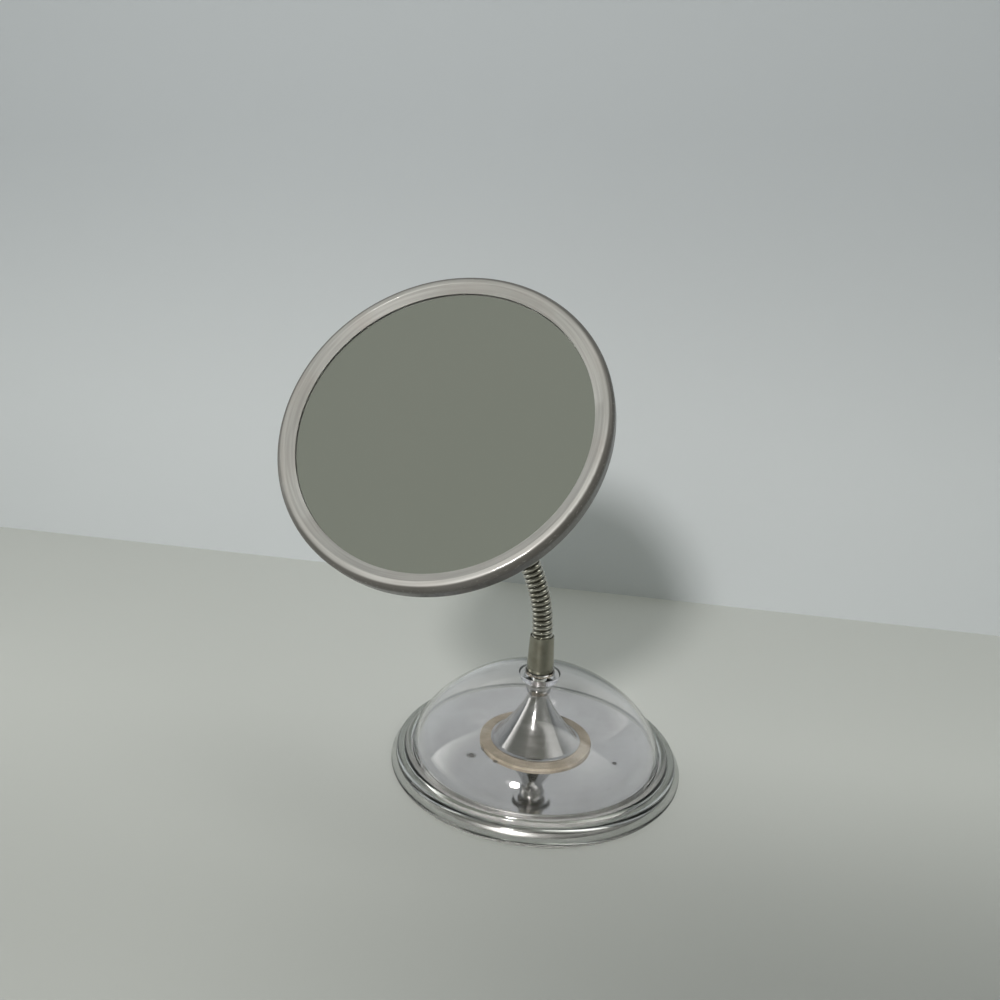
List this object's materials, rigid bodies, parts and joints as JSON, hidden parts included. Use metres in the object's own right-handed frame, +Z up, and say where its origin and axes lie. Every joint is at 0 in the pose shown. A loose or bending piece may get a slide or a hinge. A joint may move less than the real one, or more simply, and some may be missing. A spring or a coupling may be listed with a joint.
{
  "type": "gooseneck table mirror",
  "caption": "Round table mirror with a silver rim on a wound flexible neck, standing on a clear domed foot with a flared stem inside.",
  "frame": {"origin": "centre of the foot's flat underside, on the table", "axes": "+Z up; -Y towards the user, so the mirror faces -Y, up and a little to -X; +X to the user's right"},
  "size_m": [0.1746, 0.151, 0.2141],
  "materials": {
    "clear_plastic": "clear moulded acrylic, glossy",
    "silvered_plate": "silvered plate, satin with a few worn spots",
    "ballast": "painted steel",
    "soft_pad": "soft matt pad",
    "tan_foam": "tan foam",
    "bright_chrome": "polished",
    "satin_nickel": "satin nickel plate",
    "plain_steel": "zinc plate",
    "silver_rim": "silver finished plastic, satin with soft streaks",
    "clear_glass": "clear float glass",
    "mirror_coat": "silvered",
    "rear_plastic": "silver grey moulded plastic"
  },
  "bodies": {
    "base": {"foot_ring": "clear_plastic", "dome_cover": "clear_plastic", "bottom_pad": "soft_pad", "ballast_plate": "ballast", "reflector_plate": "silvered_plate", "foam_washer": "tan_foam", "trumpet": "bright_chrome", "spacer_collar": "bright_chrome", "base_washer": "plain_steel", "base_nut": "plain_steel", "base_stud": "plain_steel", "lower_ferrule": "satin_nickel", "neck_segment_01": "satin_nickel"},
    "neck_02": {"neck_segment_02": "satin_nickel"},
    "neck_03": {"neck_segment_03": "satin_nickel"},
    "neck_04": {"neck_segment_04": "satin_nickel"},
    "neck_05": {"neck_segment_05": "satin_nickel"},
    "neck_06": {"neck_segment_06": "satin_nickel"},
    "neck_07": {"neck_segment_07": "satin_nickel"},
    "neck_08": {"neck_segment_08": "satin_nickel"},
    "neck_09": {"neck_segment_09": "satin_nickel"},
    "neck_10": {"neck_segment_10": "satin_nickel"},
    "neck_11": {"neck_segment_11": "satin_nickel"},
    "neck_12": {"neck_segment_12": "satin_nickel"},
    "head": {"bezel": "silver_rim", "mirror_glass": "clear_glass", "silvering": "mirror_coat", "backing_pad": "tan_foam", "back_shell": "rear_plastic", "head_washer": "plain_steel", "head_nut": "plain_steel", "head_stud": "plain_steel", "upper_ferrule": "satin_nickel", "neck_segment_13": "satin_nickel"}
  },
  "joints": [
    {"name": "nod_1", "type": "hinge", "parent": "base", "child": "neck_02", "pos_m": [-0.00011, 0, 0.06389], "axis": [0.9721, -0.2286, 0.0528], "range_deg": [-7, 5]},
    {"name": "swing_1", "type": "hinge", "parent": "neck_02", "child": "neck_03", "pos_m": [-0.00102, 0.00001, 0.07221], "axis": [0.2282, 0.973, 0.0354], "range_deg": [-5, 5]},
    {"name": "nod_2", "type": "hinge", "parent": "neck_03", "child": "neck_04", "pos_m": [-0.00281, 0.00003, 0.08039], "axis": [0.9363, -0.2356, 0.2603], "range_deg": [-7, 5]},
    {"name": "swing_2", "type": "hinge", "parent": "neck_04", "child": "neck_05", "pos_m": [-0.00548, 0.00007, 0.08833], "axis": [0.2275, 0.97, 0.0857], "range_deg": [-5, 5]},
    {"name": "nod_3", "type": "hinge", "parent": "neck_05", "child": "neck_06", "pos_m": [-0.00899, 0.00011, 0.09593], "axis": [0.8543, -0.2537, 0.4536], "range_deg": [-7, 5]},
    {"name": "swing_3", "type": "hinge", "parent": "neck_06", "child": "neck_07", "pos_m": [-0.0133, 0.00016, 0.10311], "axis": [0.2259, 0.9633, 0.1448], "range_deg": [-5, 5]},
    {"name": "nod_4", "type": "hinge", "parent": "neck_07", "child": "neck_08", "pos_m": [-0.0183, 0.00014, 0.10983], "axis": [0.7644, -0.3155, 0.5623], "range_deg": [-7, 5]},
    {"name": "swing_4", "type": "hinge", "parent": "neck_08", "child": "neck_09", "pos_m": [-0.0232, -0.00097, 0.11653], "axis": [0.2105, 0.8975, 0.3875], "range_deg": [-5, 5]},
    {"name": "nod_5", "type": "hinge", "parent": "neck_09", "child": "neck_10", "pos_m": [-0.02765, -0.00343, 0.12317], "axis": [0.8436, -0.4125, 0.3438], "range_deg": [-7, 5]},
    {"name": "swing_5", "type": "hinge", "parent": "neck_10", "child": "neck_11", "pos_m": [-0.03154, -0.00716, 0.12957], "axis": [0.1775, 0.7567, 0.6292], "range_deg": [-5, 5]},
    {"name": "nod_6", "type": "hinge", "parent": "neck_11", "child": "neck_12", "pos_m": [-0.03475, -0.01206, 0.13555], "axis": [0.9277, -0.3517, 0.1254], "range_deg": [-7, 5]},
    {"name": "swing_6", "type": "hinge", "parent": "neck_12", "child": "head", "pos_m": [-0.03718, -0.01799, 0.14093], "axis": [0.1374, 0.5856, 0.7989], "range_deg": [-5, 5]}
  ]
}
